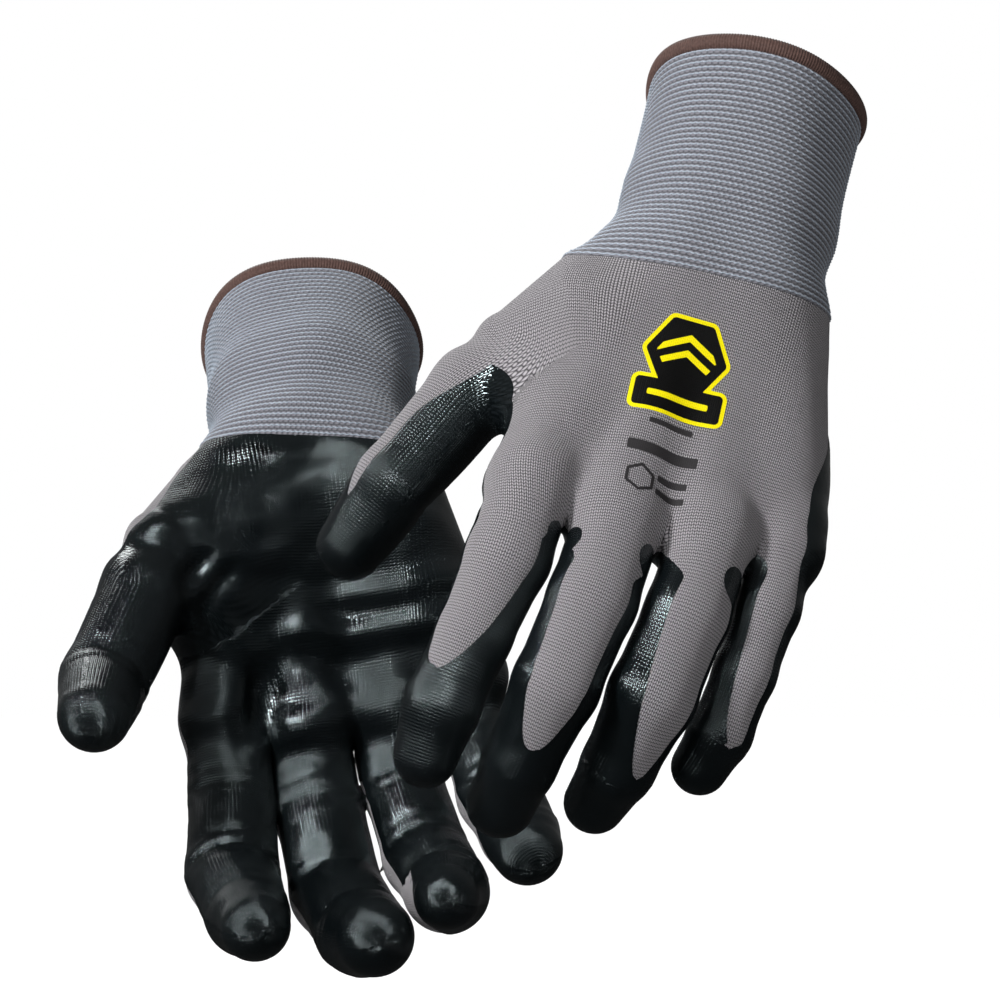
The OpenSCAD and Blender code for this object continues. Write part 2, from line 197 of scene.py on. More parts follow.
class Hand:
    """One glove's hand frame, joints and bones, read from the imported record."""

    def __init__(self, side):
        self.side = side
        self.left = side == "left"
        wrist = JOINTS[side + "_wrist"]
        self.origin = np.array(wrist["pos_m"]) * 1000.0
        axis = np.array(wrist["axis"])
        x = unit(-axis if self.left else axis)
        along = np.array(JOINTS[side + "_middle_knuckle"]["pos_m"]) * 1000.0 - self.origin
        y = unit(along - (along @ x) * x)
        z = np.cross(x, y) if self.left else -np.cross(x, y)
        self.turn = np.array([x, y, z])
        mouth = MOUNTS[side + "_cuff_mouth"]
        self.cuff_len = np.linalg.norm(np.array(mouth["pos_m"]) * 1000.0 - self.origin)
        self.cuff_axis = self.turn @ unit(mouth["axis"])
        self.wrist_mid, self.wrist_out = (np.array(v) for v in WRIST_SEAM[side])
        self.wrist_out = unit(self.wrist_out)
        self.spine = self.cuff_spine()
        self.bones = {}
        for name in FINGERS:
            joints = [self.joint(f"{name}_{part}") for part in ("knuckle", "bend", "tip_bend")]
            shifts = [(x, 0.0, 0.0) for x in FINGER_SHIFT[side][name]]
            self.bones[name] = self.bone_chain(joints, name, FINGER_R[side][name], shifts)
        joints = [self.joint("thumb_knuckle"), self.joint("thumb_bend")]
        shifts = [THUMB_SHIFT, (0, 0, 0), (0, 0, 0)]
        self.bones["thumb"] = self.bone_chain(joints, "thumb", THUMB_R[side], shifts)

    def cuff_spine(self):
        """Length, middle and facing of rings down the cuff; the length is the longer side's."""
        mouth = self.cuff_len * self.cuff_axis
        last = unit(self.cuff_axis + [0.0, -0.136, 0.0])
        t = np.linspace(0.0, 1.0, 61)[:, None]
        bend = self.wrist_mid + 20.0 * self.wrist_out
        middle = (1 - t) ** 2 * self.wrist_mid + 2 * t * (1 - t) * bend + t ** 2 * mouth
        lean = (1 - t) * self.wrist_out + t * last
        lean /= np.linalg.norm(lean, axis=1)[:, None]
        up = np.cross(lean, [1.0, 0.0, 0.0])
        sides = []
        for sign in (1, -1):
            edge = middle + sign * 24.0 * up
            steps = np.linalg.norm(np.diff(edge, axis=0), axis=1)
            sides.append(np.concatenate([[0.0], np.cumsum(steps)]))
        return max(sides, key=lambda run: run[-1]), middle, lean

    def cuff_rows(self, runs):
        """Centre and outward direction of the cuff's rows at these distances along it."""
        run, points, lean = self.spine
        centre = np.stack([np.interp(runs, run, points[:, k]) for k in range(3)], 1)
        out = np.stack([np.interp(runs, run, lean[:, k]) for k in range(3)], 1)
        return centre, out / np.linalg.norm(out, axis=1)[:, None]

    def joint(self, name):
        return self.local(np.array(JOINTS[f"{self.side}_{name}"]["pos_m"]) * 1000.0)

    def local(self, p):
        """A point of the frame, in mm, in the hand frame."""
        return (np.asarray(p) - self.origin) @ self.turn.T

    def world(self, p):
        return np.asarray(p) @ self.turn + self.origin

    def bone_chain(self, joints, name, radii, shifts):
        """Middle of the skin at each joint and in the tip, whose end lies at the CAD tip's end."""
        tip = frame["nodes"][f"{self.side}_{name}_tip"]
        co = np.empty(len(tip.data.vertices) * 3)
        tip.data.vertices.foreach_get("co", co)
        co = self.local(co.reshape(-1, 3) * 1000.0)
        far = co[np.argmax(np.linalg.norm(co - joints[-1], axis=1))]
        reach = far - joints[-1]
        end = joints[-1] + unit(reach) * (np.linalg.norm(reach) - radii[-1])
        points = [np.array(a) + b for a, b in zip(joints + [end], shifts)]
        lengths = [0.0]
        for a, b in zip(points, points[1:]):
            lengths.append(lengths[-1] + np.linalg.norm(b - a))
        tip = lengths[-1] + radii[-1]
        return {"root": joints[0], "points": points, "radii": radii, "s": lengths, "tip": tip}

    def digits(self):
        return list(FINGERS) + ["thumb"]


# ---------------------------------------------------------------- the skin as a distance field

def palm_distance(hand, p):
    """The hand without digits: four long bones, the thumb's mound and the heel of the hand."""
    d = None
    for name in FINGERS:
        knuckle = hand.bones[name]["root"]
        start = np.array([PALM_START[name], 6.0, 0.5])
        part = cone_distance(p, start, knuckle + [*PALM_END[name], -0.5], 19.5, PALM_R[name])[0]
        d = part if d is None else smooth_min(d, part, 6.0)
    root = hand.bones["thumb"]["root"]
    flesh = (
        ((28.8, 17.1, -1.8), root + [-8.4, -15.9, -2.0], 20.1, 10.3, 8.0),
        ((20.0, 24.0, -9.0), (36.9, 39.6, -10.0), 15.0, 10.8, 12.0),
        (root + [-12.0, -2.0, 2.0], (26.0, 49.8, -1.0), 10.0, 10.8, 8.0),
        ((-17.0, 14.0, -6.0), (-25.8, 48.3, -5.0), 16.5, 15.2, 10.0),
    )
    for start, end, start_r, end_r, soft in flesh:
        d = smooth_min(d, cone_distance(p, np.array(start), np.array(end), start_r, end_r)[0], soft)
    return d


def cuff_distance(hand, p):
    """The wrist's oval, closing to the round cuff: two rows of cones side by side."""
    c, w = hand.cuff_axis, hand.wrist_out
    middles = (-8.0 * w, 3.0 * (w + c), 26.0 * c, (hand.cuff_len + 14.0) * c)
    d = None
    for side in (0, 1):
        shapes = WRIST_SHAPE[hand.side]
        spots = [(m + [shape[side], 0.0, 0.0], shape[2]) for m, shape in zip(middles, shapes)]
        for (a, a_r), (b, b_r) in zip(spots, spots[1:]):
            part = cone_distance(p, a, b, a_r, b_r)[0]
            d = part if d is None else smooth_min(d, part, 5.0)
    return d


def digit_distance(hand, name, p):
    """Distance to one digit's skin, from inside the palm to its tip."""
    bone = hand.bones[name]
    pts, radii = bone["points"], bone["radii"]
    back = unit(pts[0] - pts[1])
    if name == "thumb":
        root = pts[0] + back * 1.5
    else:
        root = pts[0] + unit(back - [0.0, 1.0, 0.0]) * 26.0
    d = cone_distance(p, root, pts[0], radii[0], radii[0])[0]
    for k in range(len(pts) - 1):
        part = cone_distance(p, pts[k], pts[k + 1], radii[k], radii[k + 1])[0]
        d = smooth_min(d, part, 2.5)
    return d


def skin_distance(hand, p):
    """Distance to the whole skin; the digits melt into the hand but not into each other."""
    core = smooth_min(palm_distance(hand, p), cuff_distance(hand, p), 14.0)
    d = None
    for name in hand.digits():
        reach = 5.0 if name == "thumb" else 4.0
        part = smooth_min(core, digit_distance(hand, name, p), reach)
        d = part if d is None else np.minimum(d, part)
    return d


def skin_gradient(hand, p):
    """The way out of the skin at each point."""
    g = np.empty_like(p)
    for k in range(3):
        step = np.zeros(3)
        step[k] = 0.05
        g[:, k] = skin_distance(hand, p + step) - skin_distance(hand, p - step)
    return g / np.linalg.norm(g, axis=1)[:, None]


# ---------------------------------------------------------------- from field to mesh

def skin_grid(hand, step):
    """The skin's distance at every point of a grid, and the grid's low corner."""
    pts = np.array([q for b in hand.bones.values() for q in b["points"]])
    ends = np.vstack([pts, [[0, 0, 0]], [hand.cuff_axis * 6.0]])
    low = ends.min(axis=0) - 34.0
    high = ends.max(axis=0) + [22.0, 22.0, 36.0]
    axes = [np.arange(low[k], high[k] + step, step) for k in range(3)]
    shape = tuple(len(a) for a in axes)
    values = np.empty(shape, np.float32)
    plane = np.stack(np.meshgrid(axes[1], axes[2], indexing="ij"), -1).reshape(-1, 2)
    block = 8
    for i in range(0, shape[0], block):
        xs = axes[0][i:i + block]
        p = np.empty((len(xs), len(plane), 3))
        p[..., 0] = xs[:, None]
        p[..., 1:] = plane[None]
        values[i:i + block] = skin_distance(hand, p.reshape(-1, 3)).reshape(len(xs), *shape[1:])
    return values, low


def crossed_cells(inside):
    """The grid cells that the surface crosses, numbered, with -1 for the others."""
    cell = tuple(n - 1 for n in inside.shape)
    total = np.zeros(cell, np.int8)
    for o in np.ndindex(2, 2, 2):
        total += inside[tuple(slice(a, a + n) for a, n in zip(o, cell))]
    active = (total > 0) & (total < 8)
    index = np.full(cell, -1, np.int64)
    index[active] = np.arange(active.sum())
    return index


def cell_points(values, index):
    """In each crossed cell, the mean of the places where its edges cross the surface."""
    ci, cj, ck = np.nonzero(index >= 0)
    sums = np.zeros((len(ci), 3))
    count = np.zeros(len(ci))
    for a in np.ndindex(2, 2, 2):
        for axis in range(3):
            if a[axis]:
                continue
            b = list(a)
            b[axis] = 1
            va = values[ci + a[0], cj + a[1], ck + a[2]]
            vb = values[ci + b[0], cj + b[1], ck + b[2]]
            cross = (va < 0) != (vb < 0)
            t = np.where(cross, va / np.where(va == vb, 1.0, va - vb), 0.0)
            place = np.stack([np.full(len(ci), float(v)) for v in a], 1)
            place[:, axis] += t
            sums += place * cross[:, None]
            count += cross
    return np.stack([ci, cj, ck], 1) + sums / count[:, None]


def cell_quads(inside, index):
    """A quad round each grid edge that the surface crosses, facing out."""
    quads = []
    shape = inside.shape
    for axis in range(3):
        u, v = (axis + 1) % 3, (axis + 2) % 3
        a = [slice(None)] * 3
        b = [slice(None)] * 3
        a[axis], b[axis] = slice(0, -1), slice(1, None)
        va, vb = inside[tuple(a)], inside[tuple(b)]
        flip = va & ~vb
        gi = np.argwhere(va != vb)
        gi = gi[(gi[:, u] > 0) & (gi[:, v] > 0) & (gi[:, u] < shape[u] - 1) & (gi[:, v] < shape[v] - 1)]
        corners = []
        for du, dv in ((1, 1), (0, 1), (0, 0), (1, 0)):
            g = gi.copy()
            g[:, u] -= du
            g[:, v] -= dv
            corners.append(index[g[:, 0], g[:, 1], g[:, 2]])
        quad = np.stack(corners, 1)
        back = ~flip[gi[:, 0], gi[:, 1], gi[:, 2]]
        quad[back] = quad[back][:, ::-1]
        quads.append(quad)
    quads = np.concatenate(quads)
    return quads[(quads >= 0).all(axis=1)]


def surface_net(hand, step):
    """Triangles of the skin: one point per grid cell that the surface crosses."""
    values, low = skin_grid(hand, step)
    inside = values < 0
    index = crossed_cells(inside)
    verts = cell_points(values, index) * step + low
    quads = cell_quads(inside, index)
    for _ in range(3):
        d = skin_distance(hand, verts)
        verts = verts - skin_gradient(hand, verts) * d[:, None]
    diag = np.linalg.norm(verts[quads[:, 0]] - verts[quads[:, 2]], axis=1)
    other = np.linalg.norm(verts[quads[:, 1]] - verts[quads[:, 3]], axis=1)
    short, long = quads[diag <= other], quads[diag > other]
    tris = np.concatenate([
        short[:, [0, 1, 2]], short[:, [0, 2, 3]], long[:, [0, 1, 3]], long[:, [1, 2, 3]]])
    return verts, tris


def face_normals(verts, tris):
    return np.cross(verts[tris[:, 1]] - verts[tris[:, 0]], verts[tris[:, 2]] - verts[tris[:, 0]])


def point_normals(verts, tris):
    """The mean direction of the faces round each point."""
    fn = face_normals(verts, tris)
    n = np.zeros_like(verts)
    for k in range(3):
        np.add.at(n, tris[:, k], fn)
    return n / np.maximum(np.linalg.norm(n, axis=1), 1e-12)[:, None]


# ---------------------------------------------------------------- coordinates on the skin

def along_digit(hand, name, p):
    """Points on a digit: mm from the knuckle, the same over the round tip, and the angle from its back.

    Neighbouring bones share the plane that halves their bend, so that the length runs on evenly.
    """
    bone = hand.bones[name]
    pts, s0 = bone["points"], bone["s"]
    dirs = [unit(b - a) for a, b in zip(pts, pts[1:])]
    planes = [dirs[0]] + [unit(a + b) for a, b in zip(dirs, dirs[1:])] + [dirs[-1]]
    top = np.array(BACK_OF[name])
    s = np.zeros(len(p))
    angle = np.zeros(len(p))
    past = np.ones(len(p), bool)
    for k, d in enumerate(dirs):
        before = (p - pts[k]) @ planes[k]
        after = (pts[k + 1] - p) @ planes[k + 1]
        past &= (before > 0) | (k == 0)
        inner = np.where((before > 0) & (after > 0), before / np.maximum(before + after, 1e-6), 0.0)
        length = s0[k + 1] - s0[k]
        run = np.where(before <= 0, before, np.where(after <= 0, length - after, inner * length))
        gap = p - pts[k] - ((p - pts[k]) @ d)[:, None] * d
        up = unit(top - (top @ d) * d)
        s = np.where(past, s0[k] + run, s)
        angle = np.where(past, np.arctan2(gap @ np.cross(d, up), gap @ up), angle)
    d, end = dirs[-1], pts[-1]
    rise = (p - end) @ d
    radial = np.linalg.norm(p - end - rise[:, None] * d, axis=1)
    arc = bone["radii"][-1] * np.arctan2(rise, np.maximum(radial, 1e-6))
    return s, np.where(s > s0[-1], s0[-1] + arc, s), angle


def nearest_digit(hand, p):
    """The digit that each point belongs to."""
    return np.argmin([digit_distance(hand, name, p) for name in hand.digits()], axis=0)


def mirrored(angle):
    """The angle, counted back again past the side, so that both faces share one set of stitches."""
    return np.where(np.abs(angle) > math.pi / 2, np.sign(angle) * (math.pi - np.abs(angle)), angle)


def palm_across(x, z):
    """Distance round the hand from its middle line, the same on the back as on the palm."""
    side = smoothstep(np.abs(x), 18.0, 38.0)
    middle = -20.0 * smoothstep(x, 34.0, 64.0)
    return np.sign(x) * (np.abs(x) + side * (13.0 - np.abs(z - middle)))


def web_points(hand):
    """The deepest point of each web between two fingers."""
    points = []
    for a, b, back in zip(FINGERS, FINGERS[1:], WEB_BACK):
        middle = (hand.bones[a]["points"][0] + hand.bones[b]["points"][0]) * 0.5
        points.append(middle - [0.0, back, 0.0])
    return points


def hand_level(p):
    """Height of the dip line over the hand: coat lies below it."""
    x, y = p[:, 0], p[:, 1]
    outer = smoothstep(-x, 20.0, 42.0) * smoothstep(y, 14.0, 56.0)
    level = 0.5 + 9.0 * outer * (1.0 - 0.5 * smoothstep(y, 60.0, 84.0))
    level -= 6.0 * (1.0 - smoothstep(y, 18.0, 52.0)) * smoothstep(-x, -10.0, 20.0)
    level -= 7.0 * smoothstep(x, 10.0, 36.0) * (1.0 - smoothstep(y, 8.0, 26.0))
    level -= 19.5 * smoothstep(x, 36.0, 54.0) * (1.0 - smoothstep(y, 40.0, 52.0))
    level -= 4.0 * smoothstep(x, 30.0, 42.0) * smoothstep(y, 50.0, 66.0)
    return level


def finger_coat(bone, tongue, s, angle):
    """Positive outside the bare tongue on a finger's back, in mm from the tongue's edge."""
    before, close, thumb_side, little_side = tongue
    end = bone["tip"] - before
    t = np.clip(s / end, 0.0, 1.0)
    shut = np.sqrt(np.clip(1.0 - t ** 7.0, 0.0, 1.0))
    bow = t ** 1.6
    high = close + (thumb_side[0] + (thumb_side[1] - thumb_side[0]) * bow - close) * shut
    low = close + (little_side[0] + (little_side[1] - little_side[0]) * bow - close) * shut
    degrees = np.degrees(angle)
    out = np.maximum(degrees - high, low - degrees)
    out = np.maximum(out, (s - end) * 6.0)
    return np.radians(out) * bone["radii"][1]


def thumb_coat(bone, s, angle):
    """Positive outside the bare strip on the thumb, which narrows to its end."""
    end = 0.69 * bone["tip"]
    close = 1.0 - np.clip(s / end, 0.0, 1.0) ** 6
    inner = np.radians(-6.0 - (13.0 + 45.0 * (1.0 - smoothstep(s, -8.0, 20.0))) * close)
    outer = np.radians(-6.0 + 50.0 * close)
    out = bone["radii"][0] * np.maximum(inner - angle, angle - outer)
    return np.maximum(out, s - end)


def coat_field(hand, p, digit, coords):
    """Positive where the skin is dipped, roughly in mm from the coat's edge."""
    g = hand_level(p) - p[:, 2]
    gaps = [np.hypot(p[:, 0] - w[0], p[:, 1] - w[1]) for w in web_points(hand)]
    webs = 4.6 - np.min(gaps, axis=0)
    for k, name in enumerate(hand.digits()):
        s, _, angle = coords[name]
        mine = digit == k
        bone = hand.bones[name]
        if name == "thumb":
            root = smooth_min(s + 5.6, p[:, 0] - 45.2, 6.0)
            patch = np.minimum(np.maximum(g, root), thumb_coat(bone, s, angle))
            g = np.where(mine & (s > -16.0), patch, g)
            continue
        share = smoothstep(s, -15.0, -6.0)
        finger = finger_coat(bone, TONGUE[hand.side][name], s, angle)
        g = np.where(mine, g * (1.0 - share) + finger * share, g)
    return np.maximum(g, webs)


# ---------------------------------------------------------------- folds

# Folds of the palm: ends in the hand frame (x, y), sag of the middle, depth and half width.
PALM_FOLDS = [
    ((-44, 33), (10, 40), 3.0, -1.3, 3.2),
    ((-42, 46), (6, 47), 4.0, -1.9, 3.4),
    ((-42, 40), (12, 43), 3.0, 0.9, 2.6),
    ((-40, 58), (14, 58), 4.0, -1.7, 3.6),
    ((-38, 52), (18, 53), 3.0, 1.1, 2.8),
    ((-34, 71), (26, 68), -4.0, -2.4, 5.0),
    ((-28, 82), (24, 84), -3.0, 1.4, 3.6),
    ((28, 34), (44, 58), -2.0, -1.6, 2.2),
    ((34, 30), (50, 50), -2.0, -1.8, 2.2),
    ((31, 31), (47, 54), -2.0, 0.9, 2.0),
    ((24, 60), (31, 86), 2.0, -1.2, 2.6),
    ((14, 12), (30, 46), 5.0, -0.8, 5.0),
]


def curve_offset(x, y, a, b, sag):
    """Distance from a bowed line in the plane, and the share along it."""
    a, b = np.array(a, float), np.array(b, float)
    d = b - a
    length = np.linalg.norm(d)
    d = d / length
    t = ((x - a[0]) * d[0] + (y - a[1]) * d[1]) / length
    off = -(x - a[0]) * d[1] + (y - a[1]) * d[0]
    return off - sag * 4.0 * t * (1.0 - t), t


def fold_height(hand, p, normal, digit, coords):
    """How far folds push the skin out, in mm."""
    rng = np.random.default_rng(SEED if hand.left else SEED + 1)
    x, y = p[:, 0], p[:, 1]
    palm = smoothstep(-normal[:, 2], 0.15, 0.7)
    lift = np.zeros(len(p))
    off_digit = np.ones(len(p))
    for k, name in enumerate(hand.digits()):
        s = coords[name][0]
        off_digit = np.where(digit == k, 1.0 - smoothstep(s, -8.0, 4.0), off_digit)
    for a, b, sag, depth, width in PALM_FOLDS:
        off, t = curve_offset(x, y, a, b, sag)
        ends = smoothstep(t, -0.12, 0.12) * (1.0 - smoothstep(t, 0.86, 1.14))
        lift += depth * np.exp(-0.5 * (off / width) ** 2) * ends * palm * off_digit
    for _ in range(10):
        angle = rng.uniform(-0.35, 0.35)
        wave = rng.uniform(9.0, 22.0)
        phase = rng.uniform(0, 2 * math.pi)
        across = rng.uniform(28.0, 50.0)
        shift = rng.uniform(0, 2 * math.pi)
        u = x * math.cos(angle) + y * math.sin(angle)
        v = -x * math.sin(angle) + y * math.cos(angle)
        lift += 0.16 * palm * off_digit * np.sin(2 * math.pi * v / wave + phase) * np.sin(
            2 * math.pi * u / across + shift)
    for k, name in enumerate(hand.digits()):
        s, _, angle = coords[name]
        mine = digit == k
        bone = hand.bones[name]
        front = smoothstep(-np.cos(angle), -0.1, 0.75)
        if name == "thumb":
            front = smoothstep(-normal[:, 2] - 0.4 * normal[:, 0], -0.2, 0.6)
        for j, place in enumerate(bone["s"][:-1]):
            if name == "thumb" and j == 0:
                continue
            creases = [
                (0.0, -0.95, 1.5),
                (rng.uniform(3.4, 4.6), -0.5, 1.1),
                (rng.uniform(-4.8, -3.6), -0.45, 1.1),
            ]
            for shift, depth, width in creases:
                tilt = rng.uniform(-1.2, 1.2)
                at = s - place - shift - tilt * np.sin(angle)
                lift += np.where(mine, depth * np.exp(-0.5 * (at / width) ** 2) * front, 0.0)
        for a, b in zip(bone["s"], bone["s"][1:]):
            t = np.clip((s - a) / (b - a), 0.0, 1.0)
            lift += np.where(mine & (s > a) & (s <= b), 0.55 * np.sin(math.pi * t) * front, 0.0)
    return lift


# ---------------------------------------------------------------- skins cut into pieces

class Skin:
    """Points, triangles and per-point values that are cut together."""

    def __init__(self, verts, tris, values):
        self.verts, self.tris, self.values = verts, tris, values

    def with_points(self, a, b, t):
        """Points and values, and after them those at the share t of the way from a to b."""
        t = np.asarray(t, float).reshape(-1, 1)
        verts = np.vstack([self.verts, self.verts[a] * (1 - t) + self.verts[b] * t])
        values = {}
        for key, val in self.values.items():
            w = t if val.ndim > 1 else t[:, 0]
            mixed = val[a] if val.dtype.kind in "iu" else val[a] * (1 - w) + val[b] * w
            values[key] = np.concatenate([val, mixed])
        return verts, values

    def cut(self, field):
        """The part where field is positive, split exactly along its zero line."""
        f = np.where(np.abs(field) < 1e-6, 1e-6, field)
        pos = f[self.tris] > 0
        count = pos.sum(axis=1)
        split = (count == 1) | (count == 2)
        rows, alone = self.tris[split], count[split] == 1
        odd = np.argmax(pos[split] == alone[:, None], axis=1)
        i, j, k = (rows[np.arange(len(rows)), (odd + n) % 3] for n in range(3))
        edges = np.stack([np.concatenate([i, i]), np.concatenate([j, k])], 1)
        edges, inverse = np.unique(np.sort(edges, axis=1), axis=0, return_inverse=True)
        ij, ik = inverse.reshape(2, -1) + len(self.verts)
        tris = np.concatenate([
            self.tris[count == 3],
            np.stack([i, ij, ik], 1)[alone],
            np.stack([ij, j, k], 1)[~alone],
            np.stack([ij, k, ik], 1)[~alone]])
        a, b = edges.T
        verts, values = self.with_points(a, b, f[a] / (f[a] - f[b]))
        used = np.zeros(len(verts), bool)
        used[tris] = True
        order = np.cumsum(used) - 1
        return Skin(verts[used], order[tris], {k: v[used] for k, v in values.items()})

    def split(self, field):
        return self.cut(field), self.cut(-field)

    def refined(self):
        """Each triangle in four, for small sharp prints."""
        a, b, c = self.tris.T
        edges = np.concatenate([np.stack(pair, 1) for pair in ((a, b), (b, c), (c, a))])
        edges, inverse = np.unique(np.sort(edges, axis=1), axis=0, return_inverse=True)
        ab, bc, ca = inverse.reshape(3, -1) + len(self.verts)
        verts, values = self.with_points(*edges.T, 0.5)
        corners = ((a, ab, ca), (ab, b, bc), (ca, bc, c), (ab, bc, ca))
        return Skin(verts, np.concatenate([np.stack(t, 1) for t in corners]), values)


def boundary_edges(tris):
    """The edges that only one triangle has."""
    edges = np.concatenate([tris[:, [0, 1]], tris[:, [1, 2]], tris[:, [2, 0]]])
    key = np.sort(edges, axis=1)
    _, inverse, counts = np.unique(key, axis=0, return_inverse=True, return_counts=True)
    return edges[counts[inverse.reshape(-1)] == 1]


def shell(skin, outer, inner):
    """A closed shell between two offsets of the skin along its normals."""
    n = len(skin.verts)
    normal = skin.values["normal"]
    top = skin.verts + normal * np.reshape(outer, (-1, 1))
    low = skin.verts + normal * np.reshape(inner, (-1, 1))
    rim = boundary_edges(skin.tris)
    walls = np.concatenate([
        np.stack([rim[:, 1], rim[:, 0], rim[:, 0] + n], 1),
        np.stack([rim[:, 1], rim[:, 0] + n, rim[:, 1] + n], 1)])
    tris = np.concatenate([skin.tris, skin.tris[:, ::-1] + n, walls])
    parts = (len(skin.tris), len(skin.tris), len(walls))
    return np.vstack([top, low]), tris, parts


# ---------------------------------------------------------------- Blender objects

def make_piece(name, hand, verts, tris, material, uv=None, skin=None, parts=None):
    """A mesh object from hand-frame points, with stitch coordinates and the skin's own normals."""
    world = hand.world(verts) * 0.001
    if not hand.left:
        tris = tris[:, ::-1]
    mesh = bpy.data.meshes.new(name)
    mesh.vertices.add(len(world))
    mesh.vertices.foreach_set("co", world.astype(np.float32).ravel())
    mesh.loops.add(len(tris) * 3)
    mesh.loops.foreach_set("vertex_index", tris.astype(np.int32).ravel())
    mesh.polygons.add(len(tris))
    mesh.polygons.foreach_set("loop_start", np.arange(0, len(tris) * 3, 3, dtype=np.int32))
    mesh.polygons.foreach_set("use_smooth", np.ones(len(tris), bool))
    mesh.update(calc_edges=True)
    if uv is not None:
        layer = mesh.uv_layers.new(name="stitches")
        data = uv if hand.left else uv[:, ::-1]
        layer.data.foreach_set("uv", data.astype(np.float32).ravel())
    if skin is not None:
        n = len(skin.verts)
        normals = skin.values["normal"] @ hand.turn
        loop = np.empty((len(tris), 3, 3))
        a, b, _ = parts
        loop[:a] = normals[tris[:a]]
        loop[a:a + b] = -normals[tris[a:a + b] - n]
        flat = face_normals(world, tris[a + b:])
        flat /= np.maximum(np.linalg.norm(flat, axis=1), 1e-12)[:, None]
        loop[a + b:] = flat[:, None]
        mesh.normals_split_custom_set(loop.reshape(-1, 3).astype(np.float32))
    obj = bpy.data.objects.new(name, mesh)
    bpy.context.scene.collection.objects.link(obj)
    mesh.materials.append(MATERIALS[material])
    return obj


def stitch_coords(skin, tris):
    """Stitch coordinates for each corner of a shell made from a skin."""
    both = np.stack([skin.values["across"], skin.values["along"]], 1)
    return np.concatenate([both, both])[tris]


def point(hand, p):
    """A hand-frame point in the frame's metres."""
    return tuple(hand.world(p) * 0.001)


def blend(obj, hand, first, second, start, end):
    """Works out the two points in the frame's metres, which are not kept, and bakes the piece's
    transform into its mesh.
    """
    point(hand, start)
    point(hand, end)
    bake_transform(obj)


# ---------------------------------------------------------------- node materials

class Nodes:
    """Short hand for building a node tree."""

    def __init__(self, name):
        self.material = bpy.data.materials.new(name)
        self.material.use_nodes = True
        self.tree = self.material.node_tree

    def add(self, kind, **settings):
        node = self.tree.nodes.new(kind)
        for key, value in settings.items():
            setattr(node, key, value)
        return node

    def put(self, socket, value):
        if isinstance(value, bpy.types.NodeSocket):
            self.tree.links.new(value, socket)
        else:
            socket.default_value = value

    def shade(self, **inputs):
        """Sets the shader's inputs, named with _ for a space, and gives the material."""
        shader = self.tree.nodes["Principled BSDF"]
        for key, value in inputs.items():
            self.put(shader.inputs[key.replace("_", " ")], value)
        return self.material

    def math(self, operation, a, b=0.0):
        node = self.add("ShaderNodeMath", operation=operation)
        self.put(node.inputs[0], a)
        self.put(node.inputs[1], b)
        return node.outputs[0]

    def mix_color(self, share, a, b):
        """A blend of two colours, each as red, green and blue or as another node's output."""
        node = self.add("ShaderNodeMix", data_type="RGBA")
        self.put(node.inputs[0], share)
        for socket, color in zip(node.inputs[6:8], (a, b)):
            self.put(socket, (*color, 1.0) if isinstance(color, tuple) else color)
        return node.outputs[2]

    def scaled(self, value, low, high, out_low=0.0, out_high=1.0):
        node = self.add("ShaderNodeMapRange")
        for socket, v in zip(node.inputs, (value, low, high, out_low, out_high)):
            self.put(socket, v)
        return node.outputs[0]

    def stitches(self):
        """The stitch coordinates: across the columns and along them, in mm."""
        node = self.add("ShaderNodeUVMap", uv_map="stitches")
        split = self.add("ShaderNodeSeparateXYZ")
        self.put(split.inputs[0], node.outputs[0])
        return split.outputs[0], split.outputs[1]

    def noise(self, scale, detail, rough):
        node = self.add("ShaderNodeTexNoise")
        node.inputs["Scale"].default_value = scale
        node.inputs["Detail"].default_value = detail
        node.inputs["Roughness"].default_value = rough
        self.put(node.inputs["Vector"], self.add("ShaderNodeTexCoord").outputs["Object"])
        return node.outputs["Fac"]

    def bump(self, height, distance, strength, normal=None):
        node = self.add("ShaderNodeBump")
        node.inputs["Strength"].default_value = strength
        node.inputs["Distance"].default_value = distance
        self.put(node.inputs["Height"], height)
        if normal is not None:
            self.put(node.inputs["Normal"], normal)
        return node.outputs["Normal"]

    def knit(self):
        """Height of plain knit: leaning half loops in columns, 0 in the holes and 1 on the yarn."""
        u, v = self.stitches()
        column = self.math("FRACT", self.math("DIVIDE", u, WALE))
        from_middle = self.math("ABSOLUTE", self.math("SUBTRACT", column, 0.5))
        leaned = self.math("ADD", self.math("DIVIDE", v, COURSE), from_middle)
        yarn = self.math("ABSOLUTE", self.math("SINE", self.math("MULTIPLY", leaned, math.pi)))
        side = self.math("SINE", self.math("MULTIPLY", from_middle, 2.0 * math.pi))
        side = self.math("POWER", self.math("MAXIMUM", side, 0.0), 0.7)
        return self.math("MULTIPLY", self.math("POWER", yarn, 0.6), side)


def hand_knit_material():
    """Grey knit whose holes are darkened with painted shade, and slightly uneven yarn."""
    n = Nodes("hand_knit")
    height = n.knit()
    tone = n.noise(900.0, 4.0, 0.6)
    broad = n.noise(35.0, 2.0, 0.5)
    # painted shade: the colour goes near black in the holes between the yarn, where shade falls
    yarn = n.mix_color(n.scaled(height, 0.25, 0.85), (0.012, 0.011, 0.013), (0.455, 0.43, 0.455))
    yarn = n.mix_color(n.scaled(tone, 0.3, 0.7, 0.0, 0.14), yarn, (0.42, 0.40, 0.43))
    yarn = n.mix_color(n.scaled(broad, 0.35, 0.65, 0.0, 0.12), yarn, (0.24, 0.225, 0.24))
    fine = n.math("MULTIPLY", tone, 0.35)
    return n.shade(
        Base_Color=yarn, Roughness=n.scaled(tone, 0.2, 0.8, 0.78, 0.92),
        Sheen_Weight=0.25, Sheen_Roughness=0.5, Specular_IOR_Level=0.25,
        Normal=n.bump(n.math("ADD", height, fine), 0.00032, 0.9))


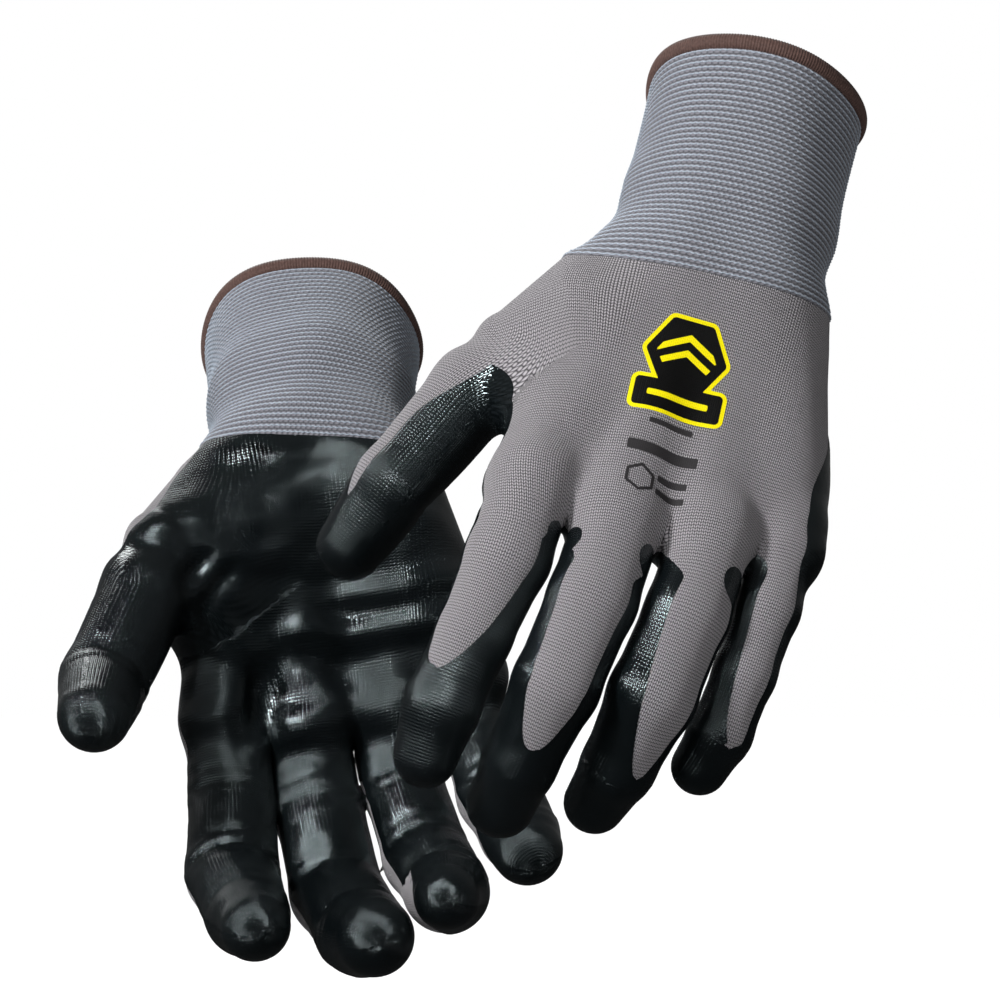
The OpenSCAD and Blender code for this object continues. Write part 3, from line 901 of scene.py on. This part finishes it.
def nitrile_material():
    """Thin glossy nitrile, with the knit's stitches raised under it."""
    n = Nodes("nitrile")
    knit = n.knit()
    film = n.noise(260.0, 3.0, 0.55)
    grain = n.noise(1500.0, 2.0, 0.5)
    show = n.scaled(n.noise(28.0, 2.0, 0.5), 0.36, 0.62, 0.35, 1.0)
    # the lighter stitch tops in the coat's colour are partly the grey knit showing through the thin
    # nitrile and partly a painted highlight
    stitch_glint_and_show_through = n.math("MULTIPLY", n.math("POWER", knit, 2.0), show)
    hollow = n.math("MULTIPLY", n.math("SUBTRACT", 1.0, knit), 0.08)
    first = n.bump(n.math("MULTIPLY", knit, show), 0.00012, 1.0)
    second = n.bump(film, 0.0006, 0.3, first)
    return n.shade(
        Base_Color=n.mix_color(stitch_glint_and_show_through, (0.0018, 0.0028, 0.0032), (0.010, 0.013, 0.015)),
        Roughness=n.math("ADD", n.scaled(film, 0.25, 0.75, 0.05, 0.12), hollow),
        Specular_IOR_Level=0.62, Specular_Tint=(0.82, 0.97, 1.0, 1.0),
        Normal=n.bump(grain, 0.00002, 0.3, second))


def cuff_material():
    """The cuff's looser knit: arched loops in rows, each row half a stitch further on."""
    n = Nodes("cuff_knit")
    u, v = n.stitches()
    row = n.math("DIVIDE", v, RIB)
    odd = n.math("FRACT", n.math("MULTIPLY", n.math("FLOOR", row), 0.5))
    column = n.math("ADD", n.math("DIVIDE", u, RIB_STITCH), odd)
    across = n.math("ABSOLUTE", n.math("SUBTRACT", n.math("FRACT", column), 0.5))
    arch = n.math("SINE", n.math("MULTIPLY", n.math("FRACT", row), math.pi))
    arch = n.math("POWER", n.math("MAXIMUM", arch, 0.0), 0.7)
    loop = n.math("MULTIPLY", arch, n.scaled(across, 0.0, 0.34, 0.35, 1.0))
    tone = n.noise(1100.0, 4.0, 0.6)
    broad = n.noise(30.0, 2.0, 0.5)
    # painted shade: the colour goes dark between the loops and rows, where shade falls; the loops keep
    # the yarn's own grey
    base = n.mix_color(n.scaled(loop, 0.12, 0.6), (0.034, 0.034, 0.040), (0.200, 0.197, 0.224))
    base = n.mix_color(n.scaled(tone, 0.3, 0.7, 0.0, 0.2), base, (0.27, 0.275, 0.305))
    base = n.mix_color(n.scaled(broad, 0.35, 0.65, 0.0, 0.12), base, (0.17, 0.173, 0.198))
    height = n.math("ADD", loop, n.math("MULTIPLY", tone, 0.4))
    return n.shade(
        Base_Color=base, Roughness=0.86, Sheen_Weight=0.25, Specular_IOR_Level=0.25,
        Normal=n.bump(height, 0.0004, 0.8))


def thread_material(name, dark, light):
    """Twisted thread with an uneven tone."""
    n = Nodes(name)
    tone = n.noise(1400.0, 4.0, 0.6)
    return n.shade(
        Base_Color=n.mix_color(n.scaled(tone, 0.3, 0.7), dark, light), Roughness=0.7,
        Sheen_Weight=0.15, Specular_IOR_Level=0.3, Normal=n.bump(tone, 0.00012, 0.7))


def print_material(name, color, rough=0.45):
    """Matt ink that has sunk a little into the knit, with painted shade darkening it in the knit's
    holes.
    """
    n = Nodes(name)
    tone = n.noise(1200.0, 3.0, 0.6)
    weave = n.knit()
    # painted shade: the ink's colour is darker in the knit's holes, where shade falls
    shade = tuple(c * 0.72 for c in color)
    return n.shade(
        Base_Color=n.mix_color(n.scaled(weave, 0.0, 0.4), shade, color),
        Roughness=n.scaled(tone, 0.3, 0.7, rough - 0.08, rough + 0.12),
        Specular_IOR_Level=0.12, Normal=n.bump(weave, 0.00012, 0.6))


MATERIALS = {
    "hand_knit": hand_knit_material(),
    "nitrile": nitrile_material(),
    "cuff_knit": cuff_material(),
    "elastic": thread_material("elastic", (0.26, 0.30, 0.36), (0.46, 0.52, 0.60)),
    "hem_thread": thread_material("hem_thread", (0.056, 0.028, 0.022), (0.112, 0.061, 0.050)),
    "print_yellow": print_material("print_yellow", (0.95, 0.82, 0.002)),
    "print_black": print_material("print_black", (0.002, 0.002, 0.002)),
    "print_grey": print_material("print_grey", (0.032, 0.030, 0.032), 0.6),
}


# ---------------------------------------------------------------- building one glove

def build_skin(hand):
    """The whole skin with folds, coat field and stitch coordinates."""
    verts, tris = surface_net(hand, SKIN_STEP)
    normal = point_normals(verts, tris)
    digit = nearest_digit(hand, verts)
    coords = {name: along_digit(hand, name, verts) for name in hand.digits()}
    coat = coat_field(hand, verts, digit, coords)
    lift = fold_height(hand, verts, normal, digit, coords)
    across = palm_across(verts[:, 0], verts[:, 2])
    along = verts[:, 1].copy()
    for k, name in enumerate(hand.digits()):
        mine = digit == k
        s, s_arc, angle = (c[mine] for c in coords[name])
        bone = hand.bones[name]
        knuckle = bone["points"][0]
        # the digit's own stitches take over from the hand's round its knuckle
        share = smoothstep(s, -24.0, 8.0)
        start = palm_across(knuckle[0], knuckle[2] + bone["radii"][0])
        round_digit = start + bone["radii"][1] * mirrored(angle)
        across[mine] += (round_digit - across[mine]) * share
        along[mine] += (s_arc + knuckle[1] - along[mine]) * share
    verts = verts + normal * lift[:, None]
    normal = point_normals(verts, tris)
    values = {
        "normal": normal, "coat": coat, "digit": digit, "across": across, "along": along,
        "past_wrist": (verts - hand.wrist_mid) @ hand.wrist_out,
    }
    for name in hand.digits():
        values["s_" + name] = coords[name][0]
    return Skin(verts, tris, values)


def joint_planes(hand, name):
    """A digit's cut planes, as points and directions, and a span round each piece's joint."""
    bone = hand.bones[name]
    pts, r = bone["points"], bone["radii"]
    thumb = name == "thumb"
    lengths = [np.linalg.norm(b - a) for a, b in zip(pts, pts[1:])]
    dirs = [unit(b - a) for a, b in zip(pts, pts[1:])]
    first = dirs[0] if thumb else unit(dirs[0] + unit(dirs[0] * [1, 1, 0]))
    root = pts[0] + first * (THUMB_CUT if thumb else WEB_CUT)
    stop = lengths[0] - THUMB_TIP_CUT if thumb else 0.5 * lengths[0]
    lean = r[0] * math.sqrt(max(0.0, 1.0 - (first @ dirs[0]) ** 2))
    cuts = [(root, first)]
    spans = [(root, pts[0] + dirs[0] * (stop - lean))]
    for k in range(1, len(dirs)):
        start = pts[k] - dirs[k - 1] * (THUMB_TIP_CUT if thumb else 0.5 * lengths[k - 1])
        end = pts[k] + dirs[k] * (0.5 * lengths[k] if k < len(dirs) - 1 else THUMB_TIP_BLEND)
        cuts.append((start, dirs[k - 1]))
        mean = unit(dirs[k] + dirs[k - 1])
        lean = r[k] * math.sqrt(max(0.0, 1.0 - (mean @ dirs[k]) ** 2))
        middle = (start + end) * 0.5
        half = max(abs((end - middle) @ mean) - lean, 5.0)
        spans.append((middle - mean * half, middle + mean * half))
    return cuts, spans


def skin_piece(hand, name, skin, outer, inner, material):
    """A shell over a part of the skin, in one of the materials."""
    verts, tris, parts = shell(skin, outer, inner)
    uv = stitch_coords(skin, tris)
    return make_piece(f"{hand.side}_{name}", hand, verts, tris, material, uv, skin, parts)


def knit_and_coat(hand, skin, name):
    """The liner piece of a skin and the coat piece over it."""
    pieces = [skin_piece(hand, name + "_knit", skin, 0.0, -KNIT_WALL, "hand_knit")]
    coated = skin.cut(skin.values["coat"])
    if len(coated.tris):
        lip = np.sqrt(smoothstep(coated.values["coat"], -0.2, COAT_LIP))
        thick = COAT_EDGE + (COAT_WALL - COAT_EDGE) * lip
        pieces.append(skin_piece(hand, name + "_dip", coated, thick, -0.03, "nitrile"))
    return pieces


def build_digit(hand, skin, name):
    """A digit's pieces, cut at its joints, with the CAD parts that they stand for hidden."""
    cuts, spans = joint_planes(hand, name)
    rest = skin
    parts = []
    for where, along in reversed(cuts[1:]):
        field = (rest.verts - where) @ along
        # away from the joint the length along the digit decides, as the plane may cut other parts
        away = np.linalg.norm(rest.verts - where, axis=1) > 45.0
        field = np.where(away, np.sign(rest.values["s_" + name] - 20.0), field)
        end, rest = rest.split(field)
        parts.insert(0, end)
    parts.insert(0, rest)
    chain = ["hand"] + [f"{name}_{k + 1}" for k in range(len(spans))]
    labels = ("base", "middle", "tip") if name != "thumb" else ("base", "tip")
    for k, (part, label) in enumerate(zip(parts, labels)):
        for piece in knit_and_coat(hand, part, f"{name}_{label}"):
            node = f"{hand.side}_{name}_{label}"
            if piece.name.endswith("_dip") and label != "tip":
                node += "_coat"
            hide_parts(node)
            blend(piece, hand, chain[k], chain[k + 1], *spans[k])


def tube(rings):
    """Points and triangles between rings of equal length, closed round."""
    count, n = len(rings), len(rings[0])
    verts = np.concatenate(rings)
    tris = []
    i = np.arange(n)
    j = (i + 1) % n
    for r in range(count - 1):
        a, b = r * n, (r + 1) * n
        tris.append(np.stack([a + i, a + j, b + j], 1))
        tris.append(np.stack([a + i, b + j, b + i], 1))
    return verts, np.concatenate(tris)


class Rows:
    """Rings of skin points round the cuff, found by stepping out from its middle to the surface."""

    def __init__(self, hand, row, around):
        self.angles = np.linspace(0, 2 * math.pi, around, endpoint=False)
        self.centre, self.lean = hand.cuff_rows(row / CUFF_ROWS * hand.spine[0][-1])
        side = np.array([1.0, 0.0, 0.0]) - self.lean[:, :1] * self.lean
        side /= np.linalg.norm(side, axis=1)[:, None]
        up = np.cross(self.lean, side)
        turn = self.angles[None, :, None]
        self.out = np.cos(turn) * side[:, None] + np.sin(turn) * up[:, None]
        self.radius = np.full(self.out.shape[:2], 30.0)
        for _ in range(14):
            p = (self.centre[:, None] + self.radius[..., None] * self.out).reshape(-1, 3)
            self.radius -= 0.8 * skin_distance(hand, p).reshape(self.radius.shape)
        rng = np.random.default_rng(SEED + 3)
        fade = smoothstep(row, 0.0, 8.0)[:, None]
        for _ in range(5):
            phase = rng.uniform(0, 6.28) + row[:, None] / rng.uniform(5, 13)
            self.radius += 0.14 * fade * np.sin(rng.integers(2, 6) * self.angles[None] + phase)

    def ring(self, k, radius, lift=0.0):
        """One row's ring at a radius, lifted along the cuff."""
        lift = np.broadcast_to(lift, radius.shape)
        return self.centre[k] + self.out[k] * radius[:, None] + lift[:, None] * self.lean[k]


def closed_tube(rings):
    """Points and triangles of rings joined in a loop, such as a wall's outside and inside."""
    n, count = len(rings[0]), len(rings)
    verts, tris = tube(list(rings) + [rings[0]])
    keep = count * n
    index = np.arange(len(verts))
    index[keep:] = np.arange(n)
    return verts[:keep], index[tris]


def cuff_wall(hand, stitches):
    """The cuff's knit: a wall with a ridge for each row of stitches."""
    row = np.arange(0.0, CUFF_ROWS + 0.1, 0.25)
    rows = Rows(hand, row, 380)
    ridge = 0.5 - 0.5 * np.cos(2 * math.pi * row)
    ridge *= smoothstep(row, 0.0, 0.6)
    outer = [rows.ring(k, rows.radius[k] + 0.08 + 0.34 * ridge[k]) for k in range(len(row))]
    inner = [rows.ring(k, rows.radius[k] - 1.0) for k in range(len(row))]
    verts, tris = closed_tube(outer + inner[::-1])
    tris = tris[:, ::-1]
    around = len(rows.angles)
    length = RIB * np.concatenate([row, row[::-1]])
    turn = (tris % around) / around
    turn = turn[:, :1] + (turn - turn[:, :1] + 0.5) % 1.0 - 0.5
    uv = np.stack([turn * stitches * RIB_STITCH, length[tris // around]], -1)
    return verts, tris, uv


def elastic_threads(hand, stitches):
    """A thin wavy elastic thread on the crest of each row of the cuff."""
    row = np.arange(CUFF_ROWS - 1) + 0.5
    rows = Rows(hand, row, 380)
    verts, tris, thick = [], [], 0.2
    for k in range(len(row)):
        wave = np.cos(rows.angles * stitches + math.pi * (k % 2))
        rings = []
        for m in range(5):
            t = 2 * math.pi * m / 5
            radius = rows.radius[k] + 0.38 + thick * math.cos(t) - 0.1 * wave
            rings.append(rows.ring(k, radius, 0.16 * wave + 1.25 * thick * math.sin(t)))
        v, f = closed_tube(rings)
        tris.append(f + len(v) * k)
        verts.append(v)
    return np.concatenate(verts), np.concatenate(tris)


def hem_roll(hand):
    """The rolled hem over the cuff's end, with fine thread wound across it."""
    rows = Rows(hand, np.array([CUFF_ROWS]), 1150)
    wound = np.cos(rows.angles * 230)
    slack = 0.14 * np.sin(3 * rows.angles + 1.0) + 0.08 * np.sin(5 * rows.angles + 2.0)
    rings = []
    for m in range(20):
        t = 2 * math.pi * m / 20
        puff = 1.0 + 0.045 * wound
        radius = rows.radius[0] - 0.3 + 1.9 * math.cos(t) * puff
        rings.append(rows.ring(0, radius, 0.3 + 2.5 * math.sin(t) * puff + slack))
    return closed_tube(rings)


def build_cuff(hand):
    """The ribbed cuff, its elastic threads and the rolled hem."""
    side = hand.side
    stitches = round(2 * math.pi * 30.3 / RIB_STITCH)
    verts, tris, uv = cuff_wall(hand, stitches)
    cuff = make_piece(f"{side}_cuff_knit", hand, verts, tris, "cuff_knit", uv)
    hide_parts(f"{side}_cuff")
    verts, tris = elastic_threads(hand, stitches)
    threads = make_piece(f"{side}_cuff_elastic_threads", hand, verts, tris, "elastic")
    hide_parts(f"{side}_cuff_elastic")
    for piece in (cuff, threads):
        blend(piece, hand, "hand", "cuff_tube", hand.wrist_mid, hand.cuff_axis * CUFF_BEND)
    verts, tris = hem_roll(hand)
    hem = make_piece(f"{side}_hem_roll", hand, verts, tris, "hem_thread")
    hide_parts(f"{side}_hem")
    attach(hem, f"{side}_cuff_tube")


# ---------------------------------------------------------------- the generic print

# The small bars under the badge: middle across and down, half sizes and corner radius.
PRINT_BARS = [
    (0.0, 21.2, 6.2, 0.75, 0.3),
    (0.8, 29.4, 10.0, 1.5, 0.5),
    (-3.6, 36.6, 4.2, 0.9, 0.3),
    (-3.6, 41.0, 4.2, 0.9, 0.3),
]


def rounded_polygon(x, y, count, radius, turn, corner):
    """Distance to a regular polygon with rounded corners."""
    angle = np.arctan2(y, x) - turn
    sector = 2 * math.pi / count
    local = (angle + sector / 2) % sector - sector / 2
    reach = np.hypot(x, y)
    flat = radius * math.cos(sector / 2) - corner
    along = reach * np.cos(local) - flat
    across = np.abs(reach * np.sin(local)) - flat * math.tan(sector / 2)
    return np.hypot(np.maximum(along, 0), np.maximum(across, 0)) + np.minimum(along, 0) - corner


def rounded_box(x, y, half_x, half_y, corner):
    """Distance to a box with rounded corners."""
    dx, dy = np.abs(x) - half_x + corner, np.abs(y) - half_y + corner
    return np.hypot(np.maximum(dx, 0), np.maximum(dy, 0)) + np.minimum(np.maximum(dx, dy), 0) - corner


def build_print(hand, skin):
    """A plain six-sided badge on a blank label, and small plain marks below, on the back of the hand."""
    middle, turn = np.array([3.6, 31.5]), math.radians(1.6)
    reach = 34.0 - np.hypot(skin.verts[:, 0] - middle[0], skin.verts[:, 1] - middle[1] - 16.0)
    near = skin.cut(reach)
    near = near.cut(near.values["normal"][:, 2] - 0.3).refined().refined()
    px, py = near.verts[:, 0] - middle[0], near.verts[:, 1] - middle[1]
    x = px * math.cos(turn) + py * math.sin(turn)
    y = -px * math.sin(turn) + py * math.cos(turn)
    plate = rounded_polygon(x, y, 6, 11.4, math.pi / 6, 1.4)
    label = rounded_box(x, y - 13.0, 12.2, 4.3, 1.2)
    badge = np.minimum(plate, label)
    chevrons = np.minimum(*(np.abs(y + drop - 0.55 * np.abs(x)) - 1.0 for drop in (5.2, 0.8)))
    chevrons = np.maximum(chevrons, rounded_polygon(x, y, 6, 8.4, math.pi / 6, 0.4))
    stripe = rounded_box(x, y - 13.0, 8.6, 0.9, 0.4)
    marks = np.minimum(np.maximum(chevrons, 9.6 - 22.0 - y), stripe)
    bars = np.abs(rounded_polygon(x - 5.6, y - 39.0, 6, 4.2, 0.0, 0.6)) - 0.4
    for bar_x, bar_y, half_x, half_y, corner in PRINT_BARS:
        bars = np.minimum(bars, rounded_box(x - bar_x, y - bar_y, half_x, half_y, corner))
    layers = [
        ("badge_border", -(badge - 1.15), 0.10, "print_yellow"),
        ("badge_plate", -badge, 0.16, "print_black"),
        ("badge_marks", -marks, 0.22, "print_yellow"),
        ("print_bars", -bars, 0.12, "print_grey"),
    ]
    for name, field, height, material in layers:
        piece = skin_piece(hand, name, near.cut(field), height, -0.05, material)
        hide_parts(f"{hand.side}_back_print")
        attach(piece, f"{hand.side}_hand")


def build_glove(side):
    hand = Hand(side)
    skin = build_skin(hand)
    skin = skin.cut(-skin.values["past_wrist"])
    palm = skin
    for k, name in enumerate(hand.digits()):
        cuts, _ = joint_planes(hand, name)
        where, along = cuts[0]
        plane = (palm.verts - where) @ along
        mine = palm.values["digit"] == k
        field = np.where(mine, plane, -np.maximum(np.abs(plane), 0.5))
        digit, palm = palm.split(field)
        build_digit(hand, digit, name)
    liner, coat = knit_and_coat(hand, palm, "hand")
    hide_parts(f"{side}_hand_liner")
    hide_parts(f"{side}_palm_coat")
    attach(liner, f"{side}_hand")
    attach(coat, f"{side}_hand")
    build_print(hand, palm)
    build_cuff(hand)


# ---------------------------------------------------------------- floor, light and camera

def build_floor(floor_z):
    """A plain floor, white where the camera looks at it and dark in what the gloves reflect."""
    n = Nodes("floor")
    rays = n.add("ShaderNodeLightPath")
    n.shade(
        Base_Color=n.mix_color(rays.outputs["Is Glossy Ray"], (0.3, 0.3, 0.3), (0.03, 0.03, 0.03)),
        Roughness=0.9, Specular_IOR_Level=0.0, Emission_Color=(1.0, 1.0, 1.0, 1.0),
        Emission_Strength=rays.outputs["Is Camera Ray"])
    size = 6.0
    corners = [(x * size, y * size, floor_z) for x, y in ((-1, -1), (1, -1), (1, 1), (-1, 1))]
    mesh = bpy.data.meshes.new("floor")
    mesh.from_pydata(corners, [], [(0, 1, 2, 3)])
    floor = bpy.data.objects.new("floor", mesh)
    mesh.materials.append(n.material)
    bpy.context.scene.collection.objects.link(floor)


def build_world():
    """White behind the gloves, and a much dimmer room for what they reflect."""
    world = bpy.data.worlds.new("studio")
    bpy.context.scene.world = world
    world.use_nodes = True
    nodes, links = world.node_tree.nodes, world.node_tree.links
    nodes["Background"].inputs[0].default_value = (1.0, 1.0, 1.0, 1.0)
    lift = nodes.new("ShaderNodeMapRange")
    links.new(nodes.new("ShaderNodeLightPath").outputs["Is Camera Ray"], lift.inputs[0])
    lift.inputs[3].default_value = ROOM_LIGHT
    lift.inputs[4].default_value = 1.0
    links.new(lift.outputs[0], nodes["Background"].inputs[1])


def build_stage():
    """The floor, the room, soft studio lights and the camera."""
    bpy.context.scene.view_settings.view_transform = "Standard"
    low, high = cad_box
    build_floor(low[2] - 0.09)
    build_world()
    middle = (Vector(low) + Vector(high)) / 2

    def area(name, place, size_m, power):
        light = bpy.data.lights.new(name, "AREA")
        light.shape = "ELLIPSE"
        light.size, light.size_y = size_m
        light.energy = power
        obj = bpy.data.objects.new(name, light)
        obj.location = middle + Vector(place)
        obj.rotation_euler = (-Vector(place)).to_track_quat("-Z", "Y").to_euler()
        bpy.context.scene.collection.objects.link(obj)

    area("key", (-1.15, -1.15, 1.0), (0.30, 0.45), 38.0)
    area("fill", (1.1, -1.3, 0.1), (0.10, 2.0), 5.6)
    area("strip", (-0.75, -1.5, 0.15), (0.08, 2.4), 11.0)
    area("rim", (-0.4, 1.2, 1.0), (0.8, 0.5), 8.0)

    camera = bpy.data.cameras.new("camera")
    camera.lens = 294.0
    camera.sensor_width = 36.0
    camera.clip_end = 20.0
    obj = bpy.data.objects.new("camera", camera)
    obj.location = (0.0115, -2.3, 0.1318)
    obj.rotation_euler = (math.radians(90), 0, 0)
    bpy.context.scene.collection.objects.link(obj)
    bpy.context.scene.camera = obj


for glove in SIDES:
    build_glove(glove)
build_stage()
